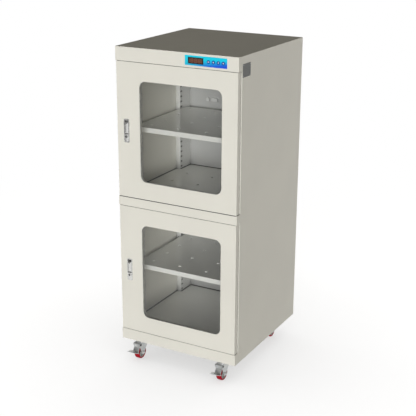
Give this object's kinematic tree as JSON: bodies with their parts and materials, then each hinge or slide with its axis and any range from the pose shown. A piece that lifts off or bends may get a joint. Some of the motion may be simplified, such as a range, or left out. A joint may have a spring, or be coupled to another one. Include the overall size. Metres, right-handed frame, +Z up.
{
  "type": "drying cabinet",
  "caption": "Tall electronic drying cabinet with stacked glazed doors, perforated shelves, a control panel and braked swivel casters.",
  "frame": {"origin": "on the floor, under the middle of the bounding box", "axes": "+Z up, -Y towards the user (doors face -Y), +X to the right seen from the front"},
  "size_m": [0.6, 0.7294, 1.483],
  "materials": {
    "body_paint": "satin powder coat",
    "inner_paint": "satin powder coat",
    "shelf_paint": "satin powder coat",
    "zinc": "zinc plated",
    "handle_chrome": "satin chrome",
    "clear_glass": "clear",
    "seal_rubber": "matt",
    "gasket_rubber": "matt",
    "panel_blue": "smooth film",
    "display_tint": "gloss",
    "button_blue": "gloss",
    "housing_black": "fine texture",
    "module_grey": "fine texture",
    "hub_metal": "turned",
    "tread_red": "cast polyurethane, semi-gloss"
  },
  "bodies": {
    "cabinet": {"side_panel_left": "body_paint", "side_panel_right": "body_paint", "back_panel": "body_paint", "top_panel": "body_paint", "header": "body_paint", "ceiling_panel": "inner_paint", "mullion": "body_paint", "divider": "inner_paint", "floor_panel": "inner_paint", "base_pan": "body_paint", "bottom_rail": "body_paint", "uprights_front": "inner_paint", "uprights_rear": "inner_paint", "shelf_upper": "shelf_paint", "shelf_lower": "shelf_paint", "shelf_clips": "zinc", "hinge_pins": "zinc", "control_panel": "panel_blue", "display_window": "display_tint", "controller_box": "housing_black", "humidity_sensor": "housing_black", "drying_unit": "module_grey", "rear_cover": "body_paint", "power_inlet": "housing_black", "caster_plates": "zinc"},
    "button_1": {"button_1": "button_blue"},
    "button_2": {"button_2": "button_blue"},
    "button_3": {"button_3": "button_blue"},
    "button_4": {"button_4": "button_blue"},
    "door_upper": {"door_frame_upper": "body_paint", "door_liner_upper": "body_paint", "door_glass_upper": "clear_glass", "glazing_seal_upper": "seal_rubber", "door_gasket_upper": "gasket_rubber", "handle_housing_upper": "handle_chrome"},
    "lever_upper": {"handle_lever_upper": "handle_chrome"},
    "lock_upper": {"door_lock_upper": "handle_chrome"},
    "door_lower": {"door_frame_lower": "body_paint", "door_liner_lower": "body_paint", "door_glass_lower": "clear_glass", "glazing_seal_lower": "seal_rubber", "door_gasket_lower": "gasket_rubber", "handle_housing_lower": "handle_chrome"},
    "lever_lower": {"handle_lever_lower": "handle_chrome"},
    "lock_lower": {"door_lock_lower": "handle_chrome"},
    "swivel_fl": {"caster_fork_fl": "zinc"},
    "wheel_fl": {"caster_hub_fl": "hub_metal", "caster_tyre_fl": "tread_red"},
    "pedal_fl": {"brake_pedal_fl": "zinc"},
    "swivel_fr": {"caster_fork_fr": "zinc"},
    "wheel_fr": {"caster_hub_fr": "hub_metal", "caster_tyre_fr": "tread_red"},
    "pedal_fr": {"brake_pedal_fr": "zinc"},
    "swivel_rl": {"caster_fork_rl": "zinc"},
    "wheel_rl": {"caster_hub_rl": "hub_metal", "caster_tyre_rl": "tread_red"},
    "swivel_rr": {"caster_fork_rr": "zinc"},
    "wheel_rr": {"caster_hub_rr": "hub_metal", "caster_tyre_rr": "tread_red"}
  },
  "joints": [
    {"name": "door_upper_hinge", "type": "hinge", "parent": "cabinet", "child": "door_upper", "pos_m": [0.288, -0.29725, 1.1145], "axis": [0, 0, 1], "range_deg": [0, 160]},
    {"name": "lever_upper_pivot", "type": "hinge", "parent": "door_upper", "child": "lever_upper", "pos_m": [-0.249, -0.30575, 1.1105], "axis": [1, 0, 0], "range_deg": [0, 40], "stiffness_Nm_per_rad": 0.15},
    {"name": "lock_upper_turn", "type": "hinge", "parent": "door_upper", "child": "lock_upper", "pos_m": [-0.249, -0.30975, 1.0885], "axis": [0, 1, 0], "range_deg": [0, 90]},
    {"name": "door_lower_hinge", "type": "hinge", "parent": "cabinet", "child": "door_lower", "pos_m": [0.288, -0.29725, 0.4575], "axis": [0, 0, 1], "range_deg": [0, 160]},
    {"name": "lever_lower_pivot", "type": "hinge", "parent": "door_lower", "child": "lever_lower", "pos_m": [-0.249, -0.30575, 0.4535], "axis": [1, 0, 0], "range_deg": [0, 40], "stiffness_Nm_per_rad": 0.15},
    {"name": "lock_lower_turn", "type": "hinge", "parent": "door_lower", "child": "lock_lower", "pos_m": [-0.249, -0.30975, 0.4315], "axis": [0, 1, 0], "range_deg": [0, 90]},
    {"name": "button_1_press", "type": "slide", "parent": "cabinet", "child": "button_1", "axis": [0, 1, 0], "range_m": [0, 0.001], "stiffness_N_per_m": 400},
    {"name": "button_2_press", "type": "slide", "parent": "cabinet", "child": "button_2", "axis": [0, 1, 0], "range_m": [0, 0.001], "stiffness_N_per_m": 400},
    {"name": "button_3_press", "type": "slide", "parent": "cabinet", "child": "button_3", "axis": [0, 1, 0], "range_m": [0, 0.001], "stiffness_N_per_m": 400},
    {"name": "button_4_press", "type": "slide", "parent": "cabinet", "child": "button_4", "axis": [0, 1, 0], "range_m": [0, 0.001], "stiffness_N_per_m": 400},
    {"name": "swivel_fl_turn", "type": "hinge", "parent": "cabinet", "child": "swivel_fl", "pos_m": [-0.22, -0.24775, 0.0907], "axis": [0, 0, 1], "continuous": true},
    {"name": "wheel_fl_roll", "type": "hinge", "parent": "swivel_fl", "child": "wheel_fl", "pos_m": [-0.22, -0.28275, 0.0325], "axis": [1, 0, 0], "continuous": true},
    {"name": "pedal_fl_press", "type": "hinge", "parent": "swivel_fl", "child": "pedal_fl", "pos_m": [-0.22, -0.30575, 0.0782], "axis": [1, 0, 0], "range_deg": [0, 8]},
    {"name": "swivel_fr_turn", "type": "hinge", "parent": "cabinet", "child": "swivel_fr", "pos_m": [0.22, -0.24775, 0.0907], "axis": [0, 0, 1], "continuous": true},
    {"name": "wheel_fr_roll", "type": "hinge", "parent": "swivel_fr", "child": "wheel_fr", "pos_m": [0.22, -0.28275, 0.0325], "axis": [1, 0, 0], "continuous": true},
    {"name": "pedal_fr_press", "type": "hinge", "parent": "swivel_fr", "child": "pedal_fr", "pos_m": [0.22, -0.30575, 0.0782], "axis": [1, 0, 0], "range_deg": [0, 8]},
    {"name": "swivel_rl_turn", "type": "hinge", "parent": "cabinet", "child": "swivel_rl", "pos_m": [-0.22, 0.26525, 0.0907], "axis": [0, 0, 1], "continuous": true},
    {"name": "wheel_rl_roll", "type": "hinge", "parent": "swivel_rl", "child": "wheel_rl", "pos_m": [-0.22, 0.23025, 0.0325], "axis": [1, 0, 0], "continuous": true},
    {"name": "swivel_rr_turn", "type": "hinge", "parent": "cabinet", "child": "swivel_rr", "pos_m": [0.22, 0.26525, 0.0907], "axis": [0, 0, 1], "continuous": true},
    {"name": "wheel_rr_roll", "type": "hinge", "parent": "swivel_rr", "child": "wheel_rr", "pos_m": [0.22, 0.23025, 0.0325], "axis": [1, 0, 0], "continuous": true}
  ]
}
